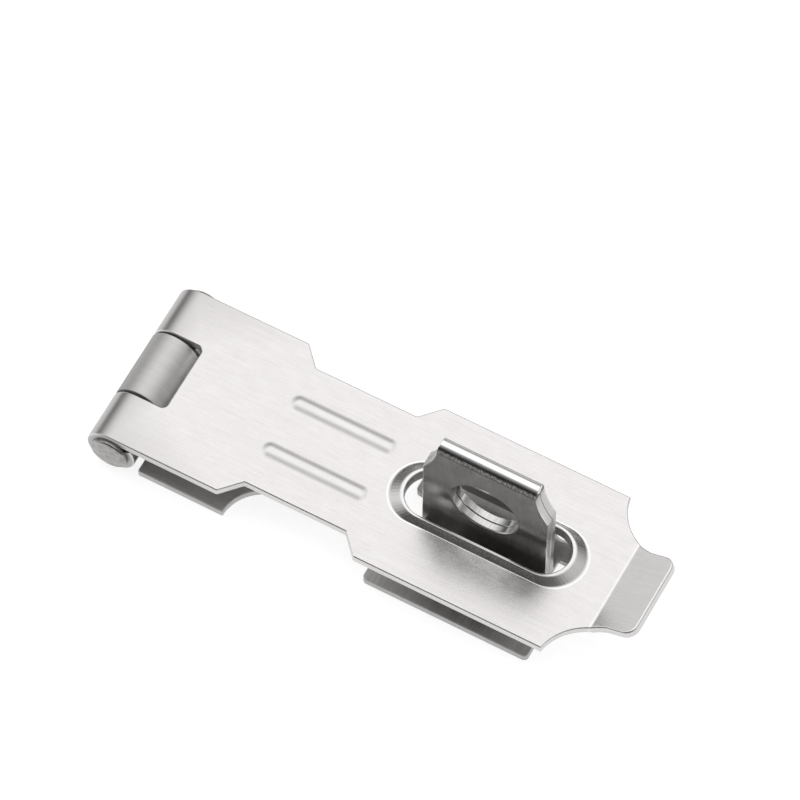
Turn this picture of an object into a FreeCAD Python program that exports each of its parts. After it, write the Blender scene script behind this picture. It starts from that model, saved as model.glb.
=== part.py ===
import FreeCAD, Part
import math
import os

os.makedirs("parts", exist_ok=True)

# Hasp and staple, closed. Four pressed or turned pieces: a slotted strap that
# swings on a pin, the leaf it hinges on, the pin, and the folded staple whose
# eye stands up through the slot to take a padlock.
# Millimetres. +X runs from the hinge to the finger tab, +Z is away from the
# surface the hasp is screwed to, and Z = 0 is that surface.

# ---- driving sizes -------------------------------------------------------

SHEET = 1.5                   # stainless sheet, the same for all three pressings
OVERALL_LENGTH = 102.0        # hinge's outer edge to the tip of the finger tab
STRAP_WIDTH = 33.0

# hinge
KNUCKLE_OD = 9.3
RUNNING_CLEARANCE = 0.05      # radial, pin to knuckle
CURL_LIP_ANGLE = 36.0         # where the rolled sheet stops, above the axis level
NOTCH_WIDTH = 13.6            # opening in the strap for the leaf's knuckle
NOTCH_CORNER_R = 1.0
HINGE_GAP = 0.4               # between knuckles, and from knuckle to the leaf's edge
NOTCH_GAP = 0.8               # from the leaf's knuckle to the end of the notch
PIN_HEAD_LAP = 0.4            # how far each spread end laps past the knuckle's bore
PIN_HEAD_THICKNESS = 1.05
PIN_HEAD_EDGE_R = 0.45

# strap outline, along its length
HINGE_END_LENGTH = 25.7       # hinge's outer edge to the first shoulder
SHOULDER_RUN = 3.4
WAIST_INSET = 3.7             # how far the waist is cut in on each side
WIDE_END_LENGTH = 36.2
TAB_WIDTH = 16.6
TAB_SIDE_LENGTH = 5.3         # end of the scoops to the tip
TAB_RUN = 7.85                # crease to tip, measured along X
TAB_ANGLE = 20.0
TAB_BEND_R = 0.4
TAB_CORNER_R = 2.2
SCOOP_FLATTENING = 0.5        # how far the scoops fall short of a quarter circle
STRAP_EDGE_R = 0.35           # rolled-over upper edge left by the press

# strap's slot, its collar and the two ribs
SLOT_TO_TIP = 32.4            # slot's centre to the tip of the tab
SLOT_END_CLEARANCE = 3.65     # eye to slot, at each end
SLOT_SIDE_CLEARANCE = 3.05    # eye to slot, on each side
COLLAR_END_RUN = 3.05         # slot's edge to the foot of the collar, at each end
COLLAR_SIDE_RUN = 1.6         # the same, on each side
COLLAR_LIP = 0.45             # flat rim left round the top of the slot
COLLAR_HEIGHT = 1.2
RIB_LENGTH = 20.6
RIB_WIDTH = 3.2
RIB_HEIGHT = 0.6
RIB_SPACING = 10.4
RIBS_FROM_SLOT = 30.9         # middle of the ribs to the middle of the slot

# hinge leaf
LEAF_SETBACK = 0.4            # how far the leaf hides under each side of the strap
LEAF_WIDE_LENGTH = 16.8       # from its shoulder by the hinge to the scoops
LEAF_TONGUE_WIDTH = 16.2
LEAF_TONGUE_LENGTH = 15.5     # scoops and tongue together
LEAF_END_R = 3.0
LEAF_SCREWS_FROM_SHOULDER = 8.3
LEAF_SCREW_SPACING = 21.0

# staple
EYE_WIDTH = 24.0
EYE_BITE_DEPTH = 2.6          # how far each top corner is cut in
EYE_RISE = 21.4               # top of the fold above the closed strap
EYE_SHOULDER_RISE = 13.1
EYE_SEAM = 0.1                # air between the two folded layers
EYE_FOOT_R = 0.8
PADLOCK_HOLE_D = 12.8
PADLOCK_HOLE_RISE = 7.9       # its centre above the closed strap
HOLE_EDGE_R = 0.2
FLANGE_PAST_EYE = 4.0         # at each end of the eye
FLANGE_SETBACK = 0.7          # how far a flange hides under each side of the strap
FLANGE_INNER_EDGE = 3.6       # from the middle plane to each flange's cut edge
STAPLE_CORNER_R = 0.9
STAPLE_SCREW_FROM_END = 5.5   # middle of each hole to the flange's end
STAPLE_SCREW_FROM_SIDE = 6.0  # and to its outer side

# countersunk screw holes, the same in leaf and staple
SCREW_HOLE_D = 4.2
SCREW_MOUTH_D = 6.0
PLATE_EDGE_R = 0.25

# ---- sizes that follow from them -----------------------------------------

KNUCKLE_R = KNUCKLE_OD / 2.0
BORE_R = KNUCKLE_R - SHEET
PIN_R = BORE_R - RUNNING_CLEARANCE
PIN_HEAD_R = BORE_R + PIN_HEAD_LAP
HINGE_EDGE_X = -OVERALL_LENGTH / 2.0
TIP_X = OVERALL_LENGTH / 2.0
AXIS_X = HINGE_EDGE_X + KNUCKLE_R
AXIS_Z = KNUCKLE_R
STRAP_TOP = AXIS_Z + KNUCKLE_R
STRAP_BOTTOM = STRAP_TOP - SHEET
STRAP_HALF = STRAP_WIDTH / 2.0
WAIST_WIDTH = STRAP_WIDTH - 2 * WAIST_INSET
WAIST_HALF = WAIST_WIDTH / 2.0
SCOOP = STRAP_HALF - TAB_WIDTH / 2.0
WAIST_LENGTH = OVERALL_LENGTH - HINGE_END_LENGTH - 2 * SHOULDER_RUN - WIDE_END_LENGTH \
    - SCOOP - TAB_SIDE_LENGTH
SHOULDER_X = AXIS_X + KNUCKLE_R + HINGE_GAP
SLOT_X = TIP_X - SLOT_TO_TIP
EYE_TOP = STRAP_TOP + EYE_RISE
EYE_HALF_THICKNESS = SHEET + EYE_SEAM / 2.0
EYE_FOLD_WIDTH = EYE_WIDTH - 2 * EYE_BITE_DEPTH
SLOT_LENGTH = EYE_WIDTH + 2 * SLOT_END_CLEARANCE
SLOT_WIDTH = 2 * EYE_HALF_THICKNESS + 2 * SLOT_SIDE_CLEARANCE
COLLAR_FOOT_LENGTH = SLOT_LENGTH + 2 * COLLAR_END_RUN
COLLAR_FOOT_WIDTH = SLOT_WIDTH + 2 * COLLAR_SIDE_RUN
LEAF_WIDTH = STRAP_WIDTH - 2 * LEAF_SETBACK
STAPLE_PLATE_X = EYE_WIDTH + 2 * FLANGE_PAST_EYE
STAPLE_PLATE_Y = STRAP_WIDTH - 2 * FLANGE_SETBACK
STAPLE_SCREW_X = STAPLE_PLATE_X - 2 * STAPLE_SCREW_FROM_END
STAPLE_SCREW_Y = STAPLE_PLATE_Y - 2 * STAPLE_SCREW_FROM_SIDE
FAR = 4.0 * OVERALL_LENGTH    # long enough to cut right through anything

UP = FreeCAD.Vector(0, 0, 1)
ALONG_X = FreeCAD.Vector(1, 0, 0)
ALONG_Y = FreeCAD.Vector(0, 1, 0)


# ---- helpers -------------------------------------------------------------

def polar(radius, degrees, flip=1):
    """A point round the hinge axis in the XZ plane; flip=-1 mirrors it in Z."""
    a = math.radians(degrees)
    return FreeCAD.Vector(AXIS_X + radius * math.cos(a), 0,
                          AXIS_Z + flip * radius * math.sin(a))


def arc(p, q, r):
    return Part.Arc(p, q, r).toShape()


def line(p, q):
    return Part.makeLine(p, q)


def box(x0, x1, y0, y1, z0, z1):
    return Part.makeBox(x1 - x0, y1 - y0, z1 - z0, FreeCAD.Vector(x0, y0, z0))


def prism(edges, depth):
    """A solid pushed out of a closed outline."""
    return Part.Face(Part.Wire(Part.__sortEdges__(edges))).extrude(depth)


def mirrored_outline(points, arcs, z):
    """Closed plan outline from its +Y half; arcs maps an index to a mid point."""
    edges = []
    for side in (1, -1):
        for i in range(len(points) - 1):
            p = FreeCAD.Vector(points[i][0], side * points[i][1], z)
            q = FreeCAD.Vector(points[i + 1][0], side * points[i + 1][1], z)
            if i in arcs:
                mid = FreeCAD.Vector(arcs[i][0], side * arcs[i][1], z)
                edges.append(arc(p, mid, q))
            else:
                edges.append(line(p, q))
    for x, y in (points[0], points[-1]):
        edges.append(line(FreeCAD.Vector(x, -y, z), FreeCAD.Vector(x, y, z)))
    return edges


def quarter_mid(cx, cy, radius, degrees):
    a = math.radians(degrees)
    return (cx + radius * math.cos(a), cy + radius * math.sin(a))


def obround(cx, cy, z, length, width):
    """Closed wire of a straight slot with round ends, long way along X."""
    r = width / 2.0
    h = length / 2.0 - r
    v = FreeCAD.Vector
    return Part.Wire([
        line(v(cx - h, cy - r, z), v(cx + h, cy - r, z)),
        arc(v(cx + h, cy - r, z), v(cx + h + r, cy, z), v(cx + h, cy + r, z)),
        line(v(cx + h, cy + r, z), v(cx - h, cy + r, z)),
        arc(v(cx - h, cy + r, z), v(cx - h - r, cy, z), v(cx - h, cy - r, z))])


def curl_edges(flip):
    """The rolled knuckle's outer and inner arcs and its lip.

    flip=1 rolls downwards from the top (strap), flip=-1 upwards (leaf)."""
    end = 360.0 + CURL_LIP_ANGLE
    mid = (90.0 + end) / 2.0
    edges = []
    for radius in (KNUCKLE_R, BORE_R):
        for a, b in ((90.0, mid), (mid, end)):
            edges.append(arc(polar(radius, a, flip),
                             polar(radius, (a + b) / 2.0, flip),
                             polar(radius, b, flip)))
    edges.append(line(polar(KNUCKLE_R, end, flip), polar(BORE_R, end, flip)))
    return edges


def capsule(x0, x1, y, z, radius):
    """A round-ended bar along X."""
    bar = Part.makeCylinder(radius, x1 - x0, FreeCAD.Vector(x0, y, z), ALONG_X)
    for x in (x0, x1):
        bar = bar.fuse(Part.makeSphere(radius, FreeCAD.Vector(x, y, z)))
    return bar.removeSplitter()


def countersunk(solid, x, y):
    """Screw hole down through a plate lying on Z = 0, its mouth on top."""
    r = SCREW_HOLE_D / 2.0
    mouth = SCREW_MOUTH_D / 2.0
    solid = solid.cut(Part.makeCylinder(r, 2 * SHEET, FreeCAD.Vector(x, y, -SHEET / 2.0)))
    cone = Part.makeCone(r, mouth + SHEET, mouth + SHEET - r,
                         FreeCAD.Vector(x, y, SHEET - (mouth - r)))
    return solid.cut(cone)


def ease(solid, edges, radius):
    """Round off edges a little."""
    return solid.makeFillet(radius, edges) if edges else solid


def on_level(edge, z):
    return all(abs(v.Point.z - z) < 1e-6 for v in edge.Vertexes) and \
        abs(edge.CenterOfMass.z - z) < 1e-6


def save(shape, name):
    solids = shape.Solids
    assert len(solids) == 1 and shape.isValid(), name
    solids[0].exportStep("parts/%s.step" % name)
    print(name, "volume", round(solids[0].Volume, 2))


# ---- strap ---------------------------------------------------------------

def strap_section():
    """Side view: rolled knuckle, flat strap, finger tab bent up at a crease."""
    v = FreeCAD.Vector
    a = math.radians(TAB_ANGLE)
    turned = v(math.cos(a), 0, math.sin(a))
    crease_x = TIP_X - TAB_RUN
    setback = TAB_BEND_R * math.tan(a / 2.0)
    top_reach = (TAB_RUN - SHEET * math.sin(a)) / math.cos(a)
    crease = v(crease_x, 0, STRAP_TOP)
    bend_centre = v(crease_x - setback, 0, STRAP_TOP + TAB_BEND_R)

    def round_bend(radius, fraction):
        return v(bend_centre.x + radius * math.sin(a * fraction), 0,
                 bend_centre.z - radius * math.cos(a * fraction))

    top_end = crease + turned * top_reach
    low_end = top_end + v(math.sin(a), 0, -math.cos(a)) * SHEET
    outer = TAB_BEND_R + SHEET
    edges = curl_edges(1)
    edges += [
        line(v(AXIS_X, 0, STRAP_TOP), round_bend(TAB_BEND_R, 0)),
        arc(round_bend(TAB_BEND_R, 0), round_bend(TAB_BEND_R, 0.5),
            round_bend(TAB_BEND_R, 1)),
        line(round_bend(TAB_BEND_R, 1), top_end),
        line(top_end, low_end),
        line(low_end, round_bend(outer, 1)),
        arc(round_bend(outer, 1), round_bend(outer, 0.5), round_bend(outer, 0)),
        line(round_bend(outer, 0), v(AXIS_X, 0, STRAP_BOTTOM))]
    return edges


def strap_outline(z):
    """Plan view: wide, waisted, wide again, scooped in to the finger tab."""
    first = HINGE_EDGE_X + HINGE_END_LENGTH
    waist0 = first + SHOULDER_RUN
    waist1 = waist0 + WAIST_LENGTH
    wide0 = waist1 + SHOULDER_RUN
    wide1 = wide0 + WIDE_END_LENGTH
    tab_half = TAB_WIDTH / 2.0
    corner = TAB_CORNER_R
    points = [(HINGE_EDGE_X - SHEET, STRAP_HALF), (first, STRAP_HALF),
              (waist0, WAIST_HALF), (waist1, WAIST_HALF), (wide0, STRAP_HALF),
              (wide1, STRAP_HALF), (wide1 + SCOOP, tab_half),
              (TIP_X - corner, tab_half), (TIP_X, tab_half - corner)]
    arcs = {5: quarter_mid(wide1 + SCOOP, STRAP_HALF, SCOOP - SCOOP_FLATTENING, 225.0),
            7: quarter_mid(TIP_X - corner, tab_half - corner, corner, 45.0)}
    return mirrored_outline(points, arcs, z)


def make_strap():
    sheet = prism(strap_section(), ALONG_Y * STRAP_WIDTH)
    sheet.translate(-ALONG_Y * STRAP_HALF)
    strap = sheet.common(prism(strap_outline(-SHEET), UP * FAR))

    # the opening the leaf's knuckle sits in
    half = NOTCH_WIDTH / 2.0
    r = NOTCH_CORNER_R
    end = AXIS_X + KNUCKLE_R + NOTCH_GAP
    notch = [(HINGE_EDGE_X - SHEET, half), (end - r, half), (end, half - r)]
    corner = {1: quarter_mid(end - r, half - r, r, 45.0)}
    strap = strap.cut(prism(mirrored_outline(notch, corner, -SHEET), UP * FAR))

    # soft upper edge all along both long sides and round the tab
    upper = [e for e in strap.Edges if on_level(e, STRAP_TOP)
             and abs(e.CenterOfMass.y) > half + r]
    strap = ease(strap, upper, STRAP_EDGE_R)

    # pressed-up collar round the slot
    lip_length = SLOT_LENGTH + 2 * COLLAR_LIP
    lip_width = SLOT_WIDTH + 2 * COLLAR_LIP
    root = STRAP_TOP - SHEET / 2.0
    foot = Part.Face(obround(SLOT_X, 0, root, COLLAR_FOOT_LENGTH, COLLAR_FOOT_WIDTH))
    strap = strap.fuse(foot.extrude(UP * (STRAP_TOP - root)))
    slope = Part.makeLoft([
        obround(SLOT_X, 0, STRAP_TOP, COLLAR_FOOT_LENGTH, COLLAR_FOOT_WIDTH),
        obround(SLOT_X, 0, STRAP_TOP + COLLAR_HEIGHT, lip_length, lip_width)],
        True, True)
    strap = strap.fuse(slope).removeSplitter()

    # two pressed-up ribs, hollow underneath
    rib_r = (RIB_WIDTH ** 2 / 4.0 + RIB_HEIGHT ** 2) / (2.0 * RIB_HEIGHT)
    rib_z = STRAP_TOP + RIB_HEIGHT - rib_r
    reach = (RIB_LENGTH - RIB_WIDTH) / 2.0
    rib_x = SLOT_X - RIBS_FROM_SLOT
    for side in (-1, 1):
        y = side * RIB_SPACING / 2.0
        above = box(rib_x - RIB_LENGTH, rib_x + RIB_LENGTH, y - RIB_WIDTH, y + RIB_WIDTH,
                    STRAP_TOP - SHEET / 2.0, STRAP_TOP + RIB_WIDTH)
        strap = strap.fuse(capsule(rib_x - reach, rib_x + reach, y, rib_z, rib_r).common(above))
        if rib_r > SHEET:
            strap = strap.cut(capsule(rib_x - reach, rib_x + reach, y, rib_z, rib_r - SHEET))

    slot = Part.Face(obround(SLOT_X, 0, STRAP_BOTTOM - SHEET, SLOT_LENGTH, SLOT_WIDTH))
    strap = strap.cut(slot.extrude(UP * (3 * SHEET + COLLAR_HEIGHT)))
    rim = [e for e in strap.Edges if on_level(e, STRAP_TOP + COLLAR_HEIGHT)]
    return ease(strap.removeSplitter(), rim, COLLAR_LIP / 3.0)


# ---- hinge leaf ----------------------------------------------------------

def make_leaf():
    v = FreeCAD.Vector
    wide_end = SHOULDER_X + LEAF_WIDE_LENGTH
    leaf_end = wide_end + LEAF_TONGUE_LENGTH
    edges = curl_edges(-1)
    edges += [line(v(AXIS_X, 0, 0), v(leaf_end, 0, 0)),
              line(v(leaf_end, 0, 0), v(leaf_end, 0, SHEET)),
              line(v(leaf_end, 0, SHEET), v(AXIS_X, 0, SHEET))]
    sheet = prism(edges, ALONG_Y * LEAF_WIDTH)
    sheet.translate(-ALONG_Y * LEAF_WIDTH / 2.0)

    # plan view: knuckle strip, wide plate, scooped in to a tongue
    half = LEAF_WIDTH / 2.0
    tongue = LEAF_TONGUE_WIDTH / 2.0
    scoop = half - tongue
    r = LEAF_END_R
    points = [(SHOULDER_X, half), (wide_end, half), (wide_end + scoop, tongue),
              (leaf_end - r, tongue), (leaf_end, tongue - r)]
    arcs = {1: quarter_mid(wide_end + scoop, half, scoop, 225.0),
            3: quarter_mid(leaf_end - r, tongue - r, r, 45.0)}
    plate = prism(mirrored_outline(points, arcs, -SHEET), UP * FAR)
    knuckle_half = NOTCH_WIDTH / 2.0 - HINGE_GAP
    knuckle = box(HINGE_EDGE_X - SHEET, SHOULDER_X + SHEET, -knuckle_half, knuckle_half,
                  -SHEET, FAR)
    leaf = sheet.common(plate.fuse(knuckle).removeSplitter()).removeSplitter()

    upper = [e for e in leaf.Edges if on_level(e, SHEET) and abs(e.CenterOfMass.y) > tongue / 2.0
             and e.CenterOfMass.x > SHOULDER_X + PLATE_EDGE_R]
    leaf = ease(leaf, upper, PLATE_EDGE_R)

    # three screw holes at the corners of an equal-sided triangle
    first_x = SHOULDER_X + LEAF_SCREWS_FROM_SHOULDER
    third_x = first_x + LEAF_SCREW_SPACING * math.sqrt(3.0) / 2.0
    for x, y in ((first_x, LEAF_SCREW_SPACING / 2.0), (first_x, -LEAF_SCREW_SPACING / 2.0),
                 (third_x, 0.0)):
        leaf = countersunk(leaf, x, y)
    return leaf


# ---- pin -----------------------------------------------------------------

def make_pin():
    """Plain pin through all three knuckles, both ends spread over the outer ones."""
    start = FreeCAD.Vector(AXIS_X, -STRAP_HALF, AXIS_Z)
    pin = Part.makeCylinder(PIN_R, STRAP_WIDTH, start, ALONG_Y)
    for side in (-1, 1):
        face = FreeCAD.Vector(AXIS_X, side * STRAP_HALF, AXIS_Z)
        head = Part.makeCylinder(PIN_HEAD_R, PIN_HEAD_THICKNESS, face, ALONG_Y * side)
        outer = side * (STRAP_HALF + PIN_HEAD_THICKNESS)
        rim = [e for e in head.Edges if abs(e.CenterOfMass.y - outer) < 1e-6
               and not e.isSeam(head.Faces[0])]
        pin = pin.fuse(ease(head, rim, PIN_HEAD_EDGE_R))
    return pin.removeSplitter()


# ---- staple --------------------------------------------------------------

def staple_section():
    """End view in the YZ plane: flange, up one side, over the fold and down."""
    v = FreeCAD.Vector
    x = SLOT_X - EYE_WIDTH / 2.0
    half = STAPLE_PLATE_Y / 2.0
    out_y = EYE_HALF_THICKNESS
    in_y = EYE_SEAM / 2.0
    foot_in = EYE_FOOT_R
    foot_out = EYE_FOOT_R + SHEET
    fold_z = EYE_TOP - out_y
    bend_y = out_y + foot_in
    bend_z = SHEET + foot_in
    s = math.sin(math.radians(45.0))
    edges = []
    for m in (1, -1):
        def p(y, z):
            return v(x, m * y, z)
        edges += [
            line(p(half, 0), p(half, SHEET)),
            line(p(half, SHEET), p(bend_y, SHEET)),
            arc(p(bend_y, SHEET), p(bend_y - foot_in * s, bend_z - foot_in * s),
                p(out_y, bend_z)),
            line(p(out_y, bend_z), p(out_y, fold_z)),
            arc(p(out_y, fold_z), p(out_y * s, fold_z + out_y * s), p(0, EYE_TOP)),
            line(p(half, 0), p(bend_y, 0)),
            arc(p(bend_y, 0), p(bend_y - foot_out * s, bend_z - foot_out * s),
                p(in_y, bend_z)),
            line(p(in_y, bend_z), p(in_y, fold_z)),
            arc(p(in_y, fold_z), p(in_y * s, fold_z + in_y * s), p(0, fold_z + in_y))]
    return edges


def make_staple():
    staple = prism(staple_section(), ALONG_X * EYE_WIDTH)

    # the flanges run out past both ends of the eye
    half_x = STAPLE_PLATE_X / 2.0
    half_y = STAPLE_PLATE_Y / 2.0
    for side in (-1, 1):
        y0, y1 = sorted((side * FLANGE_INNER_EDGE, side * half_y))
        staple = staple.fuse(box(SLOT_X - half_x, SLOT_X + half_x, y0, y1, 0, SHEET))
    staple = staple.removeSplitter()
    corners = [e for e in staple.Edges
               if abs(abs(e.CenterOfMass.x - SLOT_X) - half_x) < 1e-6
               and abs(abs(e.CenterOfMass.y) - half_y) < 1e-6
               and abs(e.CenterOfMass.z - SHEET / 2.0) < 1e-6]
    staple = ease(staple, corners, STAPLE_CORNER_R)
    upper = [e for e in staple.Edges if on_level(e, SHEET)
             and (abs(abs(e.CenterOfMass.x - SLOT_X) - half_x) < STAPLE_CORNER_R
                  or abs(abs(e.CenterOfMass.y) - half_y) < STAPLE_CORNER_R)]
    staple = ease(staple, upper, PLATE_EDGE_R)

    # hollow bites out of both top corners, straight at the fold
    drop = EYE_RISE - EYE_SHOULDER_RISE
    bite_r = (EYE_BITE_DEPTH ** 2 + drop ** 2) / (2.0 * EYE_BITE_DEPTH)
    for side in (-1, 1):
        centre = FreeCAD.Vector(SLOT_X + side * (EYE_FOLD_WIDTH / 2.0 + bite_r),
                                -EYE_HALF_THICKNESS * 2, EYE_TOP)
        staple = staple.cut(Part.makeCylinder(bite_r, EYE_HALF_THICKNESS * 4, centre, ALONG_Y))

    # padlock hole through both layers
    hole_z = STRAP_TOP + PADLOCK_HOLE_RISE
    start = FreeCAD.Vector(SLOT_X, -EYE_HALF_THICKNESS * 2, hole_z)
    staple = staple.cut(Part.makeCylinder(PADLOCK_HOLE_D / 2.0, EYE_HALF_THICKNESS * 4,
                                          start, ALONG_Y))
    rims = [e for e in staple.Edges
            if isinstance(e.Curve, Part.Circle)
            and abs(e.Curve.Radius - PADLOCK_HOLE_D / 2.0) < 1e-6
            and abs(abs(e.CenterOfMass.y) - EYE_HALF_THICKNESS) < 1e-6]
    staple = ease(staple, rims, HOLE_EDGE_R)

    for sx in (-1, 1):
        for sy in (-1, 1):
            staple = countersunk(staple, SLOT_X + sx * STAPLE_SCREW_X / 2.0,
                                 sy * STAPLE_SCREW_Y / 2.0)
    return staple


save(make_strap(), "hasp_strap")
save(make_leaf(), "hinge_leaf")
save(make_pin(), "hinge_pin")
save(make_staple(), "staple")
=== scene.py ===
# %% [markdown]
# # A hasp and staple, closed
# A hasp is door hardware: a slotted strap swings on a hinge and drops over a
# staple, and a padlock through the staple's eye keeps it there. This one is three
# pieces of stainless sheet and a pin. The lesson builds each sheet the way a press
# shop does: cut a flat blank, press it, then bend it. Keeping that order makes the
# shapes easy to describe, and it also carries the brushed grain round the bends.

# %% Load the frame
import bpy
import math
from mathutils import Matrix, Vector, geometry


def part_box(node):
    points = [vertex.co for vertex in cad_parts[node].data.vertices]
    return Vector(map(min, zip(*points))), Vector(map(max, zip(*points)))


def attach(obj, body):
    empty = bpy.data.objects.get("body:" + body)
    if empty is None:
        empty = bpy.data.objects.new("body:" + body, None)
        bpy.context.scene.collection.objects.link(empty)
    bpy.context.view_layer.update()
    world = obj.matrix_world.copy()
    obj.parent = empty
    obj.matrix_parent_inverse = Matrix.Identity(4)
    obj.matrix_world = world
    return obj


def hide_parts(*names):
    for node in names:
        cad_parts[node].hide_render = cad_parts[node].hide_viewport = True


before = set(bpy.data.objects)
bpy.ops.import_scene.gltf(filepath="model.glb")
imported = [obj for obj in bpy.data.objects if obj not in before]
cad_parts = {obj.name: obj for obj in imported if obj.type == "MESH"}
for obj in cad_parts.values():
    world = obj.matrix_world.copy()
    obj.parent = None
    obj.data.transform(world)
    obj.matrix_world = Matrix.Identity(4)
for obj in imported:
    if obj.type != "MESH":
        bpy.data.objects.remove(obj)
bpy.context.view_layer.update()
MM = 0.001

# %% [markdown]
# ## Sizes
# Whatever the frame already knows is read from it, so the looks follow the design
# if the design changes. The rest are the press tool's own sizes: sheet gauge, bend
# radii and how far each stamping stands up.

# %% Read the places of the four pieces
strap_low, strap_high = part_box("hasp_strap")
leaf_low, leaf_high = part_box("hinge_leaf")
pin_low, pin_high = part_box("hinge_pin")
staple_low, staple_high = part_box("staple")

SHEET = 1.5 * MM
KNUCKLE_R = leaf_high.z / 2
AXIS_X = strap_low.x + KNUCKLE_R
STRAP_TOP = 2 * KNUCKLE_R
SLOT_X = (staple_low.x + staple_high.x) / 2
TIP_X = strap_high.x
STRAP_HALF = strap_high.y
print("hinge axis x", round(AXIS_X / MM, 3), "slot centre x", round(SLOT_X / MM, 3))

# %% [markdown]
# ## Sums on node sockets
# Shader and geometry maths is long when every Add and Multiply is made by hand.
# A small wrapper lets the sums be written as Python: `1 - mask` adds the node for
# it. Everything that isn't a sum comes from one method, `node`, which takes a
# node's type, its settings, and what goes into its sockets.

# %% The bench and its wires
class Wire:
    """One output socket that can be used in sums."""

    def __init__(self, bench, socket):
        self.bench = bench
        self.socket = socket

    def maths(self, operation, first, second=0.0):
        return self.bench.node("ShaderNodeMath", {"operation": operation}, {0: first, 1: second})

    def __add__(self, other):
        return self.maths("ADD", self, other)

    def __sub__(self, other):
        return self.maths("SUBTRACT", self, other)

    def __mul__(self, other):
        return self.maths("MULTIPLY", self, other)

    def __truediv__(self, other):
        return self.maths("DIVIDE", self, other)

    def __rsub__(self, other):
        return self.maths("SUBTRACT", other, self)

    __radd__ = __add__
    __rmul__ = __mul__


class Bench:
    """A node tree being built."""

    def __init__(self, tree):
        self.tree = tree

    def node(self, kind, settings=None, sockets=None, out=0):
        made = self.tree.nodes.new(kind)
        for name, value in (settings or {}).items():
            setattr(made, name, value)
        for key, value in (sockets or {}).items():
            if isinstance(value, Wire):
                self.tree.links.new(value.socket, made.inputs[key])
            else:
                made.inputs[key].default_value = value
        return Wire(self, made.outputs[out]) if len(made.outputs) else made

    def smooth_step(self, value, low, high):
        return self.node("ShaderNodeMapRange", {"interpolation_type": "SMOOTHSTEP"},
                         {"Value": value, "From Min": low, "From Max": high})

    def noise(self, place, scale, detail, flat=True, coarse=0.5):
        """Noise on a flat map, or through the solid."""
        return self.node("ShaderNodeTexNoise", {"noise_dimensions": "2D" if flat else "3D"},
                         {"Vector": place, "Scale": scale, "Detail": detail,
                          "Roughness": coarse})

    def blend(self, factor, first, second):
        """A colour between two colours."""
        return self.node("ShaderNodeMix", {"data_type": "RGBA"},
                         {0: factor, 6: first, 7: second}, out=2)


print("bench ready")

# %% [markdown]
# ## Brushed stainless
# Brushed stainless is bright metal with thousands of fine parallel lines. The lines
# run along the sheet and follow it round every bend, because it was brushed while
# flat. So the pattern is read from a map of the flat blank, not from the bent
# shape. Three sizes of streak are layered: hair-fine lines for the satin look,
# broader bands for the uneven pressure of the belt, and a cloudy layer for handling.
# Where the press sheared the sheet, the cut face is duller and has short lines
# through the thickness. Where an edge is rounded it is rubbed a little brighter, and
# the same brightening paints thin highlight lines at the collar's foot and lip and on
# the ribs' tops. Where the sheet is rolled into a knuckle it is greyed, part dull steel
# from the rolling tool and part painted shade. A tiled picture would be quicker to
# set up, but noise has no seams and its grain stays the right size.

# %% Colours of rubbed and dull steel, and of painted highlight, reflection and shade
# bright steel for rubbed edges, also used to paint thin highlight lines
RUBBED_AND_HIGHLIGHT = (0.93, 0.925, 0.92, 1.0)
# grey for the rolled knuckles: dull steel from rolling, and painted shade
ROLLED_GREY_AND_SHADE = (0.36, 0.355, 0.35, 1.0)
# near black for the painted dark reflection on the staple fold's flanks
DARK_REFLECTION = (0.05, 0.047, 0.044, 1.0)
# dark grey for the painted shade on the eye's foot, under the strap
FOOT_SHADE = (0.17, 0.165, 0.16, 1.0)

# streaks per mm along the sheet, then across it, then how much finer detail they carry
HAIRLINES = (0.22, 9.0, 2.0)
BELT_BANDS = (0.04, 1.6, 2.0)
HANDLING = (0.35, 0.45, 4.0)
SHEAR_LINES = (5.0, 5.0, 2.0)
STREAK_COARSE = 0.6
STREAK_BUMP = 0.02 * MM
print("hairlines are", round(1 / HAIRLINES[1], 2), "mm wide")

# %% [markdown]
# ## Painted light and shade across the sheet
# Some painted highlights and shade run straight across the blank. The tab's crease
# gets a painted highlight, a thin bright line. The staple's tight fold gets a painted
# highlight along its top and a speckled band of painted dark reflection on its flanks,
# and painted shade darkens the eye from the strap's top down onto the flange. Each is
# a band that needs only the distance along the sheet, so the blank's map is enough
# and nothing has to be painted by hand.

# %% The painted highlights and shade
# the painted highlight line along the crease, in mm from the bend
CREASE_CORE = 0.05
CREASE_REACH = 0.34

# how far down the fold the painted highlight fades and the band of painted dark reflection starts
# and ends, as shares of the fold's length
CREST_HIGHLIGHT_FADES = (0.30, 0.42)
DARK_REFLECTION_STARTS = (0.36, 0.50)
DARK_REFLECTION_ENDS = (1.0, 1.25)
# how strong the painted highlight and the band of painted dark reflection are
CREST_HIGHLIGHT = 0.85
DARK_REFLECTION_DEPTH = 0.92
SPECKLES_PER_MM = 3.2


def distance_along(bench, flat):
    return bench.node("ShaderNodeSeparateXYZ", {}, {0: flat})


def paint_crease_highlight(bench, colour, flat, cloud, crease):
    """A painted highlight, a thin bright line across the sheet, crease mm along it."""
    off = distance_along(bench, flat) - crease
    line = 1 - bench.smooth_step(off.maths("ABSOLUTE", off), CREASE_CORE, CREASE_REACH)
    return bench.blend(line * (0.12 + cloud * 0.35), colour, RUBBED_AND_HIGHLIGHT)


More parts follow.
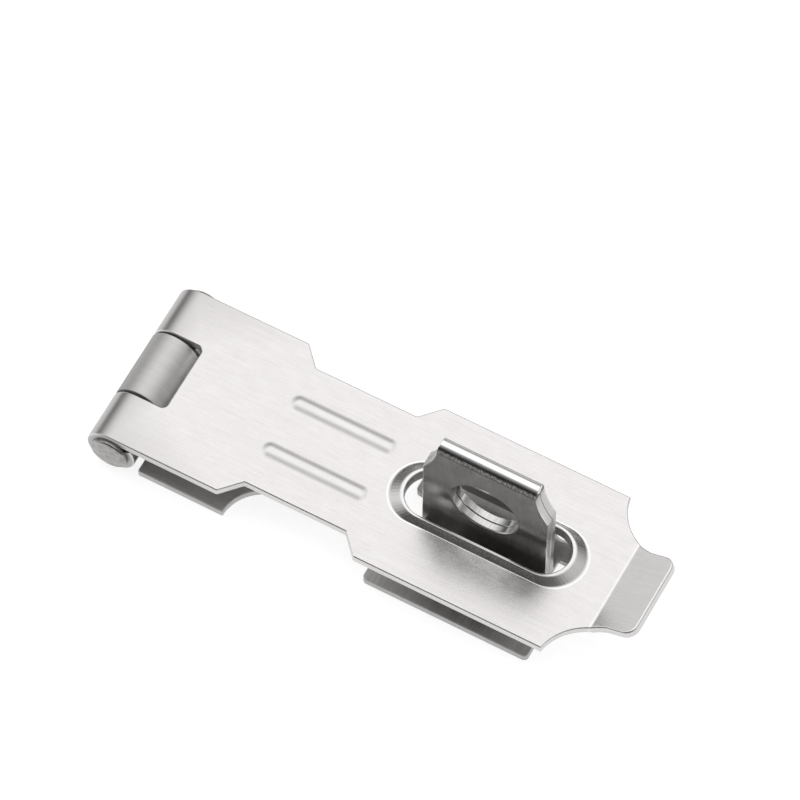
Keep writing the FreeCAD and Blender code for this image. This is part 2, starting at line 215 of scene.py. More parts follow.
def paint_fold_light_and_shade(bench, colour, rough, flat, cloud, places):
    """A painted highlight along the fold's top, a speckled band of painted dark reflection, painted
    shade from foot to flange, a rougher flange.
    """
    fold, foot, flange = places
    along = distance_along(bench, flat)
    along = along.maths("ABSOLUTE", along)
    # painted highlight along the top of the fold
    crest_highlight = 1 - bench.smooth_step(along, *(fold * share for share in CREST_HIGHLIGHT_FADES))
    # painted shade on the eye below the strap's top, fading out on the flange
    foot_shade = bench.smooth_step(along, foot - 1.0, foot + 1.5)
    foot_shade = foot_shade * (1 - bench.smooth_step(along, flange - 1.5, flange + 2.5))
    # a speckled band of painted dark reflection on the fold's flanks
    dark_reflection = bench.smooth_step(along, *(fold * share for share in DARK_REFLECTION_STARTS))
    dark_reflection = dark_reflection * (1 - bench.smooth_step(along, *(fold * share for share in DARK_REFLECTION_ENDS)))
    speckle = bench.noise(flat, SPECKLES_PER_MM, 3.0, coarse=0.7)
    dark_reflection = dark_reflection * (0.72 + 0.28 * bench.smooth_step(speckle, 0.62, 0.42))
    colour = bench.blend(crest_highlight * CREST_HIGHLIGHT, colour, RUBBED_AND_HIGHLIGHT)
    colour = bench.blend(foot_shade * (0.70 + (cloud - 0.5) * 0.6), colour, FOOT_SHADE)
    colour = bench.blend(dark_reflection * DARK_REFLECTION_DEPTH, colour, DARK_REFLECTION)
    rough = rough + dark_reflection * 0.12 + bench.smooth_step(along, flange, flange + 1.5) * 0.28
    return colour, rough


print("the crease's line is", 2 * CREASE_REACH, "mm wide")

# %% A finish for pressed sheet
def brushed_steel(name, dark, light, roughness, streak_depth, rub_and_highlight=0.75, dulling_and_shade=0.0,
                  crease=None, folds=None):
    """rub_and_highlight brightens rubbed edges and paints thin highlight lines; dulling_and_shade
    greys what is rolled, part dull steel and part painted shade. crease is where the tab's bend
    lies, with its painted highlight line, and folds where the staple's fold, foot and flange do,
    for its painted highlight, dark reflection and shade, in mm on the blank."""
    finish = bpy.data.materials.new(name)
    finish.use_nodes = True
    finish.node_tree.nodes.clear()
    bench = Bench(finish.node_tree)
    flat = bench.node("ShaderNodeUVMap", {"uv_map": "blank"})
    cut, worn, rolled = (bench.node("ShaderNodeAttribute", {"attribute_name": label}, out="Fac")
                         for label in ("cut_edge", "worn", "rolled"))

    def streaks(along, across, detail):
        stretched = bench.node("ShaderNodeVectorMath", {"operation": "MULTIPLY"},
                               {0: flat, 1: (along, across, 1.0)})
        return bench.noise(stretched, 1.0, detail, coarse=STREAK_COARSE)

    hair = streaks(*HAIRLINES)
    bands = streaks(*BELT_BANDS)
    cloud = streaks(*HANDLING)
    shear = streaks(*SHEAR_LINES)

    shade = bench.smooth_step(hair * 0.5 + bands * 0.2 + cloud * 0.3, 0.25, 0.75)
    # the rolled knuckles are greyed and darkened: dull steel from rolling, and painted shade
    shade = shade * (1 - cut * 0.6) * (1 - rolled * 0.5)
    colour = bench.blend(shade, (*dark, 1.0), (*light, 1.0))
    colour = bench.blend(rolled * dulling_and_shade, colour, ROLLED_GREY_AND_SHADE)
    # rubbed edges brighten, and the same mix paints thin highlight lines
    colour = bench.blend(worn * rub_and_highlight, colour, RUBBED_AND_HIGHLIGHT)
    rough = roughness + (hair - 0.5) * 0.08 + (cloud - 0.5) * 0.10
    # the tab's crease gets a painted highlight line
    if crease is not None:
        colour = paint_crease_highlight(bench, colour, flat, cloud, crease)
    # the staple's fold gets a painted highlight, a band of painted dark reflection and painted
    # shade at its foot
    if folds is not None:
        colour, rough = paint_fold_light_and_shade(bench, colour, rough, flat, cloud, folds)
    rough = rough + cut * (0.08 + shear * 0.12) - worn * 0.06 + rolled * 0.06
    height = hair * (1 - cut) + bands * 0.2 + shear * cut
    bump = bench.node("ShaderNodeBump", {},
                      {"Strength": streak_depth, "Distance": STREAK_BUMP, "Height": height})
    shader = bench.node("ShaderNodeBsdfPrincipled", {},
                        {"Base Color": colour, "Metallic": 1.0, "Roughness": rough,
                         "Normal": bump})
    bench.node("ShaderNodeOutputMaterial", {}, {"Surface": shader})
    print("finish", name, "has", len(finish.node_tree.nodes), "nodes")
    return finish


# %% [markdown]
# ## Peened pin end
# The pin is turned wire. Its barrel is plain, but the two ends were struck to
# spread them, which leaves small flat facets. Cell noise on the object's own
# coordinates gives those facets without any map.

# %% A finish for the pin
PIN_DARK = (0.25, 0.24, 0.235, 1.0)
PIN_LIGHT = (0.40, 0.39, 0.38, 1.0)
FACETS_PER_METRE = 900.0
GRAINS_PER_METRE = 3500.0
PEEN_BUMP = 0.05 * MM


def peened_steel(name):
    finish = bpy.data.materials.new(name)
    finish.use_nodes = True
    finish.node_tree.nodes.clear()
    bench = Bench(finish.node_tree)
    place = bench.node("ShaderNodeTexCoord", {}, {}, out="Object")
    facets = bench.node("ShaderNodeTexVoronoi", {"feature": "SMOOTH_F1"},
                        {"Vector": place, "Scale": FACETS_PER_METRE, "Smoothness": 0.6})
    grain = bench.noise(place, GRAINS_PER_METRE, 3.0, flat=False)
    shade = bench.smooth_step(grain * 0.6 + facets * 0.4, 0.25, 0.7)
    bump = bench.node("ShaderNodeBump", {},
                      {"Strength": 0.35, "Distance": PEEN_BUMP,
                       "Height": facets * 0.7 + grain * 0.3})
    shader = bench.node("ShaderNodeBsdfPrincipled", {},
                        {"Base Color": bench.blend(shade, PIN_DARK, PIN_LIGHT),
                         "Metallic": 1.0, "Roughness": 0.30 + (grain - 0.5) * 0.2,
                         "Normal": bump})
    bench.node("ShaderNodeOutputMaterial", {}, {"Surface": shader})
    return finish


pin_steel = peened_steel("pin_peened")
print("pin finish:", pin_steel.name)

# %% [markdown]
# ## Drawing a blank
# A blank's outline is a ring of points on the flat sheet. `along` is the length of
# the sheet and `across` its width. Corners are given with a radius and rounded
# here, scoops are arcs through three points, and only one half is drawn because
# every blank is the same on both sides.

# %% Outline helpers
def round_corner(before, corner, after, radius, steps=8):
    """Points that replace a corner by an arc of that radius."""
    a = (Vector(before) - Vector(corner)).normalized()
    b = (Vector(after) - Vector(corner)).normalized()
    half = a.angle(b) / 2
    centre = Vector(corner) + (a + b).normalized() * radius / math.sin(half)
    first = Vector(corner) + a * radius / math.tan(half) - centre
    last = Vector(corner) + b * radius / math.tan(half) - centre
    turn = first.angle_signed(last)
    return [tuple(centre + Matrix.Rotation(-turn * i / steps, 2) @ first)
            for i in range(steps + 1)]


def arc_through(start, middle, end, steps):
    """Points from start to end on the circle through all three."""
    (ax, ay), (bx, by), (cx, cy) = start, middle, end
    d = 2 * (ax * (by - cy) + bx * (cy - ay) + cx * (ay - by))
    a2, b2, c2 = ax * ax + ay * ay, bx * bx + by * by, cx * cx + cy * cy
    centre = Vector(((a2 * (by - cy) + b2 * (cy - ay) + c2 * (ay - by)) / d,
                     (a2 * (cx - bx) + b2 * (ax - cx) + c2 * (bx - ax)) / d))
    first = Vector(start) - centre
    turn = first.angle_signed(Vector(end) - centre)
    return [tuple(centre + Matrix.Rotation(-turn * i / steps, 2) @ first)
            for i in range(steps + 1)]


def outline(corners):
    """(along, across, radius) corners become plain points; radius 0 stays sharp."""
    points = []
    for i, (along, across, radius) in enumerate(corners):
        if radius > 0:
            points += round_corner(corners[i - 1][:2], (along, across),
                                   corners[i + 1][:2], radius)
        else:
            points.append((along, across))
    return points


def area_of(ring):
    return sum(ring[i - 1][0] * ring[i][1] - ring[i][0] * ring[i - 1][1]
               for i in range(len(ring))) / 2


def both_sides(half):
    """The half with across > 0, mirrored into a closed ring turning left."""
    ring = half + [(along, -across) for along, across in reversed(half)]
    return ring if area_of(ring) > 0 else ring[::-1]


def circle(along, across, radius, steps=64):
    return [(along + radius * math.cos(2 * math.pi * i / steps),
             across + radius * math.sin(2 * math.pi * i / steps)) for i in range(steps)]


def slot(along, across, length, width, steps=28):
    """A straight slot with round ends, turning left."""
    r = width / 2
    h = length / 2 - r
    right = [(along + h + r * math.sin(math.pi * i / steps),
              across - r * math.cos(math.pi * i / steps)) for i in range(steps + 1)]
    left = [(2 * along - x, 2 * across - y) for x, y in right]
    return right + left


print("outline helpers ready")

# %% [markdown]
# ## Cutting the blank from sheet
# A stamped edge isn't a knife edge: the punch rolls the top over and leaves the
# bottom crisp. Each ring is therefore swept with a short profile, a list of how far
# in from the cut and how high each row lies. Between the rows the flat faces are
# filled by a constrained triangulation, which keeps every bend line as a real row
# of edges, so the sheet folds cleanly there. Five numbers are stored with each
# point for later: how much of a cut edge it is, how much it is brightened by rubbed
# wear and painted highlight, how much it is greyed by dull steel and painted shade
# on a knuckle, and how far the rib tool and the collar tool will lift it.

# %% Edge profiles
FLAT_MARGIN = 0.12 * MM
BURR = 0.08 * MM
EDGE_STEPS = 5


def rolled_edge(radius, sheared=1.0):
    """(inset, height, cut, worn) rows from the top face round to the bottom one; the rounded rows
    are rubbed brighter, part wear and part painted highlight.
    """
    rows = [(radius + FLAT_MARGIN, SHEET, 0.0, 0.0)]
    for i in range(EDGE_STEPS + 1):
        turn = math.radians(90 * i / EDGE_STEPS)
        rows.append((radius * (1 - math.sin(turn)), SHEET - radius * (1 - math.cos(turn)),
                     0.15 * i * sheared, 0.5 if 0 < i < 4 else 0.0))
    rows.append((0.0, SHEET * 0.45, sheared, 0.0))
    rows.append((0.0, BURR, sheared, 0.0))
    rows.append((BURR, 0.0, 0.6 * sheared, 0.4))
    rows.append((BURR + FLAT_MARGIN, 0.0, 0.0, 0.0))
    return rows


def countersink(mouth, hole):
    """A screw hole's profile, with a cone from the top face; its edges are just broken."""
    cone = mouth - hole
    rim = 0.03 * MM
    foot = 0.02 * MM
    under = 0.06 * MM
    return [(cone + 5 * rim, SHEET, 0.0, 0.0), (cone + rim, SHEET, 0.0, 0.7),
            (cone - rim, SHEET - rim, 0.3, 0.7), (foot, SHEET - cone + foot, 0.4, 0.2),
            (0.0, SHEET - cone - rim, 1.0, 0.0), (0.0, under, 1.0, 0.0),
            (under, 0.0, 0.6, 0.3), (3 * under, 0.0, 0.0, 0.0)]


print("a plain edge has", len(rolled_edge(0.35 * MM)), "rows")

# %% Work on rings
TOUCHING = 1e-7
ON_LINE = 1e-9


def inset(ring, distance):
    """Move a ring towards the metal, which lies to its left."""
    moved = []
    for i, point in enumerate(ring):
        before = (Vector(point) - Vector(ring[i - 1])).normalized()
        after = (Vector(ring[(i + 1) % len(ring)]) - Vector(point)).normalized()
        n1 = Vector((-before.y, before.x))
        n2 = Vector((-after.y, after.x))
        moved.append(tuple(Vector(point) + (n1 + n2) * distance / (1 + n1.dot(n2))))
    return moved


def without_doubles(ring):
    """Drop points that lie on top of the one before."""
    return [p for i, p in enumerate(ring)
            if (Vector(p) - Vector(ring[i - 1])).length > TOUCHING]


def split_at(ring, stations):
    """Add a point wherever the ring crosses a bend line."""
    out = []
    for i, start in enumerate(ring):
        end = ring[(i + 1) % len(ring)]
        out.append(start)
        hits = [s for s in stations if min(start[0], end[0]) < s < max(start[0], end[0])]
        for s in sorted(hits, reverse=end[0] < start[0]):
            share = (s - start[0]) / (end[0] - start[0])
            out.append((s, start[1] + share * (end[1] - start[1])))
    return out


def inside(point, ring):
    """Count the ring's edges to the right of the point; an odd count is inside."""
    x, y = point
    odd = False
    for (x1, y1), (x2, y2) in zip(ring, ring[1:] + ring[:1]):
        if (y1 > y) != (y2 > y) and x < x1 + (y - y1) / (y2 - y1) * (x2 - x1):
            odd = not odd
    return odd


def ramp(value, low, high):
    """0 at low, 1 at high, straight between."""
    return min(max((value - low) / (high - low), 0.0), 1.0)


def bend_pairs(ring, stations):
    """For each bend line, the pairs of outline points it runs between."""
    pairs = []
    for s in stations:
        hits = sorted((p[1], i) for i, p in enumerate(ring) if abs(p[0] - s) < ON_LINE)
        pairs += [(hits[k][1], hits[k + 1][1]) for k in range(0, len(hits) - 1, 2)]
    return pairs


print("ring helpers ready")

# %% The blank itself
class Blank:
    """Collects the points and faces of one flat blank."""

    def __init__(self):
        self.points, self.faces = [], []
        self.cut, self.worn, self.rib, self.collar = [], [], [], []

    def row(self, ring, height, cut=0.0, worn=0.0, rib=0.0, collar=0.0):
        first = len(self.points)
        self.points += [(x, y, height) for x, y in ring]
        for store, value in ((self.cut, cut), (self.worn, worn), (self.rib, rib),
                             (self.collar, collar)):
            store += [value] * len(ring)
        return list(range(first, len(self.points)))

    def join(self, upper, lower):
        """Quads between two rows; the metal is to the left of both."""
        n = len(upper)
        for i in range(n):
            j = (i + 1) % n
            self.faces.append((upper[i], lower[i], lower[j], upper[j]))

    def swept_edge(self, ring, profile):
        rows = [self.row(inset(ring, d), z, cut, worn) for d, z, cut, worn in profile]
        for upper, lower in zip(rows, rows[1:]):
            self.join(upper, lower)
        return rows[0], rows[-1]

    def fill(self, outer, holes, bend_pairs, facing_up):
        """Triangles between closed rows, keeping the bend lines as edges."""
        rows = [outer] + holes
        index = [i for row in rows for i in row]
        place = {v: k for k, v in enumerate(index)}
        flat = [Vector(self.points[i][:2]) for i in index]
        edges = [(place[row[i - 1]], place[row[i]]) for row in rows for i in range(len(row))]
        edges += [(place[outer[a]], place[outer[b]]) for a, b in bend_pairs]
        made = geometry.delaunay_2d_cdt(flat, edges, [], 0, ON_LINE)
        assert len(made[0]) == len(flat), "the triangulation added points"
        shells = [[self.points[i][:2] for i in row] for row in rows]
        origin = [ids[0] for ids in made[3]]
        for face in made[2]:
            corners = [index[origin[k]] for k in face]
            middle = [sum(self.points[c][axis] for c in corners) / 3 for axis in (0, 1)]
            if inside(middle, shells[0]) and not any(inside(middle, s) for s in shells[1:]):
                up = area_of([self.points[c][:2] for c in corners]) > 0
                self.faces.append(corners if up == facing_up else corners[::-1])

    def mesh(self, name, dulled_and_shaded=None):
        """The mesh, with its flat map in mm; dulled_and_shaded says how grey a place along it is,
        as dull steel from rolling and painted shade.
        """
        made = bpy.data.meshes.new(name)
        made.from_pydata(self.points, [], [tuple(f) for f in self.faces])
        flat_map = made.uv_layers.new(name="blank")
        for corner in made.loops:
            x, y, _ = self.points[corner.vertex_index]
            flat_map.uv[corner.index].vector = (x / MM, y / MM)
        rolled = [dulled_and_shaded(x) if dulled_and_shaded else 0.0 for x, _, _ in self.points]
        for label, values in (("cut_edge", self.cut), ("worn", self.worn), ("rolled", rolled),
                              ("rib_lift", self.rib), ("collar_lift", self.collar)):
            made.attributes.new(label, "FLOAT", "POINT").data.foreach_set("value", values)
        return made


print("blank cutter ready")

# %% [markdown]
# ## Pressing and bending, as one geometry node tree
# All three sheets are shaped by the same two rules, so one tree serves them all.
# First the rib and collar tools lift the points they were told to. Then each bend
# rolls everything past a line round a centre: inside the bend a point turns in
# proportion to how far it is in, and beyond it the sheet simply carries on
# straight. Bends are done from the free ends inwards. Geometry nodes suit this well
# because a bend is a rule on positions, and its sizes stay open as inputs.

# %% The bend group
BEND_SIZES = ("Start", "Length", "Angle", "Centre Height", "Side")
NUMBER = "NodeSocketFloat"


def add_inputs(tree, inputs):
    for name, kind, value in inputs:
        made = tree.interface.new_socket(name=name, in_out="INPUT", socket_type=kind)
        if value is not None:
            made.default_value = value
    tree.interface.new_socket(name="Geometry", in_out="OUTPUT", socket_type="NodeSocketGeometry")


def make_bend_group():
    tree = bpy.data.node_groups.new("Bend", "GeometryNodeTree")
    defaults = (0.0, 10 * MM, 0.0, 0.0, 1.0)
    add_inputs(tree, [("Geometry", "NodeSocketGeometry", None)]
               + [(name, NUMBER, value) for name, value in zip(BEND_SIZES, defaults)])
    bench = Bench(tree)
    given = tree.nodes.new("NodeGroupInput")

    def entry(name):
        return Wire(bench, given.outputs[name])

    place = bench.node("GeometryNodeInputPosition")
    split = tree.nodes.new("ShaderNodeSeparateXYZ")
    tree.links.new(place.socket, split.inputs[0])
    x, y, z = (Wire(bench, split.outputs[i]) for i in range(3))

    reach = (x - entry("Start")) * entry("Side")
    share = bench.node("ShaderNodeClamp", {}, {0: reach / entry("Length")})
    turn = share * entry("Angle")
    sine = turn.maths("SINE", turn)
    cosine = turn.maths("COSINE", turn)
    past = reach - share * entry("Length")
    arm = z - entry("Centre Height")
    new_x = entry("Start") + (past * cosine + arm * sine) * entry("Side")
    new_z = entry("Centre Height") + arm * cosine - past * sine
    moved = bench.node("ShaderNodeCombineXYZ", {}, {0: new_x, 1: y, 2: new_z})
    bent = bench.node("GeometryNodeSetPosition", {},
                      {"Geometry": entry("Geometry"), "Position": moved})
    bench.node("NodeGroupOutput", {}, {0: bent})
    return tree


bend_group = make_bend_group()
print("bend group has", len(bend_group.nodes), "nodes")

# %% The forming tree
SHARP_ABOVE = math.radians(32)


def make_forming_tree(name, bend_count):
    """Press, bend as many times as asked, put in place, shade, give the finish."""
    tree = bpy.data.node_groups.new(name, "GeometryNodeTree")
    inputs = [("Geometry", "NodeSocketGeometry", None), ("Rib Height", NUMBER, 0.0),
              ("Collar Height", NUMBER, 0.0), ("Place", "NodeSocketVector", None),
              ("Quarter Turns", NUMBER, 0.0), ("Finish", "NodeSocketMaterial", None)]
    for i in range(bend_count):
        inputs += [("Bend %d %s" % (i + 1, what), NUMBER, 1.0) for what in BEND_SIZES]
    add_inputs(tree, inputs)
    bench = Bench(tree)
    given = tree.nodes.new("NodeGroupInput")

    def entry(label):
        return Wire(bench, given.outputs[label])

    def stored(label):
        return bench.node("GeometryNodeInputNamedAttribute", {"data_type": "FLOAT"},
                          {"Name": label})

    rib_lift = stored("rib_lift") * entry("Rib Height")
    lift = rib_lift + stored("collar_lift") * entry("Collar Height")
    upwards = bench.node("ShaderNodeCombineXYZ", {}, {2: lift})
    sheet = bench.node("GeometryNodeSetPosition", {},
                       {"Geometry": entry("Geometry"), "Offset": upwards})
    for i in range(bend_count):
        sockets = {what: entry("Bend %d %s" % (i + 1, what)) for what in BEND_SIZES}
        sheet = bench.node("GeometryNodeGroup", {"node_tree": bend_group},
                           {"Geometry": sheet, **sockets})
    turned = bench.node("ShaderNodeCombineXYZ", {}, {2: entry("Quarter Turns") * (math.pi / 2)})
    sheet = bench.node("GeometryNodeTransform", {},
                       {"Geometry": sheet, "Translation": entry("Place"), "Rotation": turned})
    between_faces = bench.node("GeometryNodeInputMeshEdgeAngle", {}, {}, out="Unsigned Angle")
    gentle = bench.node("FunctionNodeCompare", {"operation": "LESS_THAN"},
                        {0: between_faces, 1: SHARP_ABOVE})
    sheet = bench.node("GeometryNodeSetShadeSmooth", {"domain": "EDGE"},
                       {"Geometry": sheet, "Shade Smooth": gentle})
    sheet = bench.node("GeometryNodeRealizeInstances", {}, {"Geometry": sheet})
    sheet = bench.node("GeometryNodeSetMaterial", {},
                       {"Geometry": sheet, "Material": entry("Finish")})
    bench.node("NodeGroupOutput", {}, {0: sheet})
    return tree


def form(name, blank, tree, values):
    """Run a blank through its forming tree and keep the result as a plain mesh."""
    piece = bpy.data.objects.new(name, blank)
    bpy.context.scene.collection.objects.link(piece)
    press = piece.modifiers.new("press", "NODES")
    press.node_group = tree
    for item in tree.interface.items_tree:
        if item.in_out == "INPUT" and item.name in values:
            press[item.identifier] = values[item.name]
    ready = piece.evaluated_get(bpy.context.evaluated_depsgraph_get())
    shaped = bpy.data.meshes.new_from_object(ready)
    piece.modifiers.remove(press)
    piece.data = shaped
    shaped.name = name
    print(name, "has", len(shaped.polygons), "faces")
    return piece


def bend_values(bends):
    """Name the five sizes of each bend for the forming tree."""
    return {"Bend %d %s" % (i + 1, label): value
            for i, bend in enumerate(bends) for label, value in zip(BEND_SIZES, bend)}


print("forming tree ready")

# %% [markdown]
# ## The strap
# The strap is the big piece: two knuckles rolled at the hinge end, a waist, a slot
# with a raised collar, two stiffening ribs and a tab turned up for the finger. On
# the flat blank the knuckles are two long tongues. Sheet can't be pressed into a
# sharp step, so the ribs rise along an S curve, and the collar is a straight slope
# with a softened foot and a rounded lip.

# %% The strap's sizes
MID_SHEET = KNUCKLE_R - SHEET / 2
ROLL_ANGLE = math.radians(306)
ROLL_LENGTH = MID_SHEET * ROLL_ANGLE
NOTCH_HALF = 6.8 * MM
NOTCH_END = AXIS_X + KNUCKLE_R + 0.8 * MM
WAIST_HALF = 12.8 * MM
SHOULDER_RUN = 3.4 * MM
WAIST_START = strap_low.x + 25.7 * MM
WAIST_END = WAIST_START + SHOULDER_RUN + 19.8 * MM
WIDE_END = WAIST_END + SHOULDER_RUN + 36.2 * MM
TAB_HALF = 8.3 * MM
TAB_ANGLE = math.radians(20)
TAB_BEND_R = 0.4 * MM
CREASE_X = TIP_X - 7.85 * MM
TAB_CORNER_R = 2.2 * MM
NOTCH_CORNER_R = 1.0 * MM
SHOULDER_R = 0.5 * MM
SCOOP_FLATTENING = 0.5 * MM
STRAP_EDGE_R = 0.35 * MM

SLOT_LENGTH = 31.3 * MM
SLOT_WIDTH = 9.2 * MM
COLLAR_END_RUN = 3.05 * MM
COLLAR_SIDE_RUN = 1.6 * MM
COLLAR_HEIGHT = 1.2 * MM
COLLAR_LIP = 0.45 * MM
RIB_LENGTH = 20.6 * MM
RIB_WIDTH = 3.2 * MM
RIB_FOOT = 0.6 * MM
RIB_HEIGHT = 0.38 * MM
RIB_SPACING = 10.4 * MM
RIB_X = SLOT_X - 30.9 * MM

setback = TAB_BEND_R * math.tan(TAB_ANGLE / 2)
tab_bend_start = CREASE_X - setback
tab_bend_length = (TAB_BEND_R + SHEET / 2) * TAB_ANGLE
tab_reach = (TIP_X - CREASE_X - SHEET * math.sin(TAB_ANGLE)) / math.cos(TAB_ANGLE)
print("tab reaches", round(tab_reach / MM, 2), "mm past its crease")

# %% The strap's finish, and where the rolled knuckles are greyed with painted shade and dull steel
ROLL_FADE = 3.0 * MM
QUARTER_ROLL = MID_SHEET * math.pi / 2
# where the crease's painted highlight line lies on the blank
CREASE_HIGHLIGHT_AT = tab_bend_start - 0.15 * MM
strap_steel = brushed_steel("strap_satin", (0.62, 0.605, 0.60), (0.73, 0.715, 0.71), 0.27, 0.12,
                            dulling_and_shade=0.7, crease=CREASE_HIGHLIGHT_AT / MM)


# the strap's knuckle is greyed from the hinge axis round, fading in over 3 mm: dull steel from
# rolling, and painted shade
def strap_dulled_and_shaded(x):
    return ramp(x, AXIS_X + ROLL_FADE / 2, AXIS_X - ROLL_FADE / 2)


# the leaf's knuckle is greyed on its underside and on the side away from the plate, fading out
# towards its top: painted shade, with some dull steel from rolling
def leaf_dulled_and_shaded(x):
    return ramp(x, AXIS_X, AXIS_X - ROLL_FADE) * ramp(x, AXIS_X - 2 * QUARTER_ROLL,
                                                      AXIS_X - 1.3 * QUARTER_ROLL)


print("the grey starts within", round(ROLL_FADE / MM, 1), "mm of the hinge axis")

# %% The strap's outline
SCOOP_STEPS = 24
ROLL_STEPS = 64
TAB_STEPS = 6

# the tab's slope makes its stretch of the blank longer than it looks from above
scoop = STRAP_HALF - TAB_HALF
blank_tip = tab_bend_start + tab_bend_length + tab_reach - setback
scoop_end = (tab_bend_start + tab_bend_length - setback
             + (WIDE_END + scoop - CREASE_X) / math.cos(TAB_ANGLE))
stretch = (scoop_end - WIDE_END) / scoop
roll_end = AXIS_X - ROLL_LENGTH
diagonal = (scoop - SCOOP_FLATTENING) * math.sqrt(0.5)
scoop_points = [(WIDE_END + (x - WIDE_END) * stretch, y) for x, y in arc_through(
    (WIDE_END, STRAP_HALF), (WIDE_END + scoop - diagonal, STRAP_HALF - diagonal),
    (WIDE_END + scoop, TAB_HALF), SCOOP_STEPS)]
near_half = outline([(NOTCH_END, 0.0, 0), (NOTCH_END, NOTCH_HALF, NOTCH_CORNER_R),
                     (roll_end, NOTCH_HALF, 0), (roll_end, STRAP_HALF, 0),
                     (WAIST_START, STRAP_HALF, SHOULDER_R),
                     (WAIST_START + SHOULDER_RUN, WAIST_HALF, SHOULDER_R),
                     (WAIST_END, WAIST_HALF, SHOULDER_R),
                     (WAIST_END + SHOULDER_RUN, STRAP_HALF, SHOULDER_R),
                     (WIDE_END, STRAP_HALF, 0)])
far_half = outline([scoop_points[-1] + (0,), (blank_tip, TAB_HALF, TAB_CORNER_R),
                    (blank_tip, 0.0, 0)])
half = near_half[1:] + scoop_points[1:] + far_half[1:-1]
strap_ring = without_doubles(both_sides(half))

roll_lines = [AXIS_X - ROLL_LENGTH * i / ROLL_STEPS for i in range(ROLL_STEPS)]
tab_lines = [tab_bend_start + tab_bend_length * i / TAB_STEPS for i in range(TAB_STEPS + 1)]
strap_ring = split_at(strap_ring, roll_lines + tab_lines)
print("strap outline has", len(strap_ring), "points")


# %% The two slopes
def s_curve(share):
    return share * share * (3 - 2 * share)


def soft_ramp(share, soft=0.2):
    """A straight rise from 0 to 1 with a little rounding at its foot and its top."""
    if share < soft:
        return share * share / (2 * soft * (1 - soft))
    if share > 1 - soft:
        return 1 - soft_ramp(1 - share, soft)
    return (share - soft / 2) / (1 - soft)


def between(first, last, share):
    return [(a + (c - a) * share, b + (d - b) * share)
            for (a, b), (c, d) in zip(first, last)]


print("halfway up, an S curve is at", s_curve(0.5), "and a soft ramp at", soft_ramp(0.5))

# %% Press the collar and the ribs
# mm inside the collar's foot, and how much painted highlight that row gets, a thin bright line
# along the foot
COLLAR_FOOT_ROWS = ((0.40, 0.0), (0.26, 0.0), (0.13, 0.9), (0.02, 0.8))
COLLAR_STEPS = 16
COLLAR_UNDERSIDE = 0.15 * MM
RIB_STEPS = 10
RIB_CREST_AT = 0.92
RIB_LAST_ROW = 0.97


def press_collar(blank):
    """From the flat, up the slope, over the lip, and down the slot's wall."""
    edge = slot(SLOT_X, 0.0, SLOT_LENGTH, SLOT_WIDTH)[::-1]
    foot = slot(SLOT_X, 0.0, SLOT_LENGTH + 2 * COLLAR_END_RUN,
                SLOT_WIDTH + 2 * COLLAR_SIDE_RUN)[::-1]
    lip = inset(edge, COLLAR_LIP)
    # the rows just inside the collar's foot get a painted highlight line
    rows = [blank.row(inset(foot, d * MM), SHEET, worn=worn) for d, worn in COLLAR_FOOT_ROWS]
    for i in range(1, COLLAR_STEPS + 1):
        share = i / COLLAR_STEPS
        rows.append(blank.row(between(foot, lip, share), SHEET, collar=soft_ramp(share),
                              worn=0.4 * max(share - 0.9, 0.0) / 0.1))
    # the lip and the slot's lower edge are brightened: part rubbed wear, part painted highlight
    lip_r = COLLAR_LIP * 0.6
    for i in range(EDGE_STEPS + 1):
        turn = math.radians(90 * i / EDGE_STEPS)
        rows.append(blank.row(inset(edge, lip_r * (1 - math.sin(turn))),
                              SHEET - lip_r * (1 - math.cos(turn)),
                              cut=0.1 * i, worn=0.4, collar=1.0))
    rows.append(blank.row(edge, SHEET * 0.5, cut=0.7, collar=0.6))
    rows.append(blank.row(edge, COLLAR_UNDERSIDE, cut=0.7))
    rows.append(blank.row(inset(edge, COLLAR_UNDERSIDE), 0.0, cut=0.5, worn=0.3))
    rows.append(blank.row(inset(edge, 2 * COLLAR_UNDERSIDE), 0.0))
    for upper, lower in zip(rows, rows[1:]):
        blank.join(upper, lower)
    return rows[0], rows[-1]


def press_rib(blank, across, top):
    """One rib on the top face, or its hollow underneath."""
    height = SHEET if top else 0.0
    ring = slot(RIB_X, across, RIB_LENGTH + RIB_FOOT, RIB_WIDTH + RIB_FOOT)
    reach = (RIB_WIDTH + RIB_FOOT) / 2
    rows = [blank.row(ring, height)]
    for i in range(1, RIB_STEPS + 1):
        share = i / RIB_STEPS
        # the rows towards the rib's top get a little painted highlight
        rows.append(blank.row(inset(ring, reach * share * RIB_LAST_ROW), height,
                              worn=share * 0.1, rib=s_curve(min(share / RIB_CREST_AT, 1.0))))
    for outer, inner in zip(rows, rows[1:]):
        if top:
            blank.join(inner, outer)
        else:
            blank.join(outer, inner)
    blank.fill(rows[-1], [], [], top)
    return rows[0]


print("collar stands", round(COLLAR_HEIGHT / MM, 2), "mm and ribs", round(RIB_HEIGHT / MM, 2))

